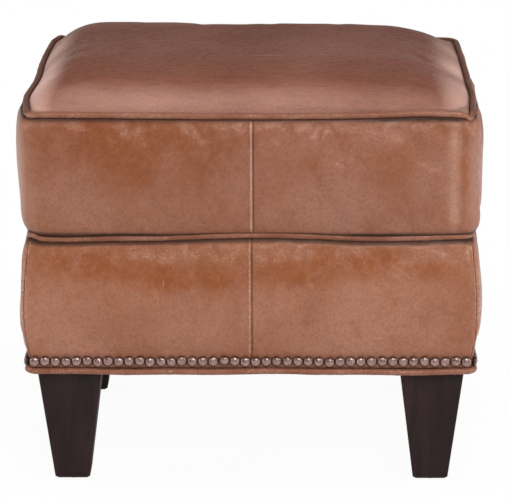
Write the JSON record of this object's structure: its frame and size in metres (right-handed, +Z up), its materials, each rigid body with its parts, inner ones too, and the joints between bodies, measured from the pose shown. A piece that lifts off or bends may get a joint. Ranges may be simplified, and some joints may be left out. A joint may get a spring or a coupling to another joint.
{
  "type": "upholstered footstool",
  "caption": "Rectangular leather footstool with a crowned, welted cushion top, a padded base with nailhead trim and square tapered wooden legs.",
  "frame": {"origin": "on the floor, under the middle of the footstool", "axes": "+Z up, +X along the long side towards the right as seen from the front, -Y towards the front"},
  "size_m": [0.5244, 0.4414, 0.4719],
  "materials": {
    "leather_top": "satin",
    "leather_boxing": "satin",
    "leather_base": "satin",
    "leather_welt": "satin",
    "nail_metal": "satin",
    "leg_wood": "satin",
    "frame_wood": "matte",
    "steel": "satin",
    "glide_plastic": "matte",
    "dust_cloth": "matte",
    "deck_cloth": "matte",
    "padding": "matte",
    "foam": "matte",
    "welt_cord": "matte",
    "tack_board": "matte"
  },
  "bodies": {
    "root": {"base_padding_back": "padding", "base_padding_front": "padding", "base_padding_left": "padding", "base_padding_right": "padding", "base_panel_back_left": "leather_base", "base_panel_back_right": "leather_base", "base_panel_front_left": "leather_base", "base_panel_front_right": "leather_base", "base_panel_left": "leather_base", "base_panel_right": "leather_base", "bottom_welt": "leather_welt", "bottom_welt_cord": "welt_cord", "boxing_panel_back_left": "leather_boxing", "boxing_panel_back_right": "leather_boxing", "boxing_panel_front_left": "leather_boxing", "boxing_panel_front_right": "leather_boxing", "corner_block_back_left": "frame_wood", "corner_block_back_right": "frame_wood", "corner_block_front_left": "frame_wood", "corner_block_front_right": "frame_wood", "deck_cloth": "deck_cloth", "deck_pad": "padding", "dust_cover": "dust_cloth", "dust_cover_staples": "steel", "edge_roll": "padding", "fiber_wrap": "padding", "foam_core": "foam", "frame_screws": "steel", "glides": "glide_plastic", "hanger_bolts": "steel", "leg_back_left": "leg_wood", "leg_back_right": "leg_wood", "leg_front_left": "leg_wood", "leg_front_right": "leg_wood", "middle_welt": "leather_welt", "middle_welt_cord": "welt_cord", "nails_back": "nail_metal", "nails_front": "nail_metal", "nails_left": "nail_metal", "nails_right": "nail_metal", "rail_back": "frame_wood", "rail_dowels": "frame_wood", "rail_front": "frame_wood", "rail_left": "frame_wood", "rail_right": "frame_wood", "spring_clips": "steel", "spring_tie_wires": "steel", "tack_strips": "tack_board", "tee_nuts": "steel", "tie_wire_clips": "steel", "top_panel": "leather_top", "top_welt": "leather_welt", "top_welt_cord": "welt_cord", "zigzag_spring_1": "steel", "zigzag_spring_2": "steel", "zigzag_spring_3": "steel", "zigzag_spring_4": "steel", "zigzag_spring_5": "steel"}
  },
  "joints": []
}
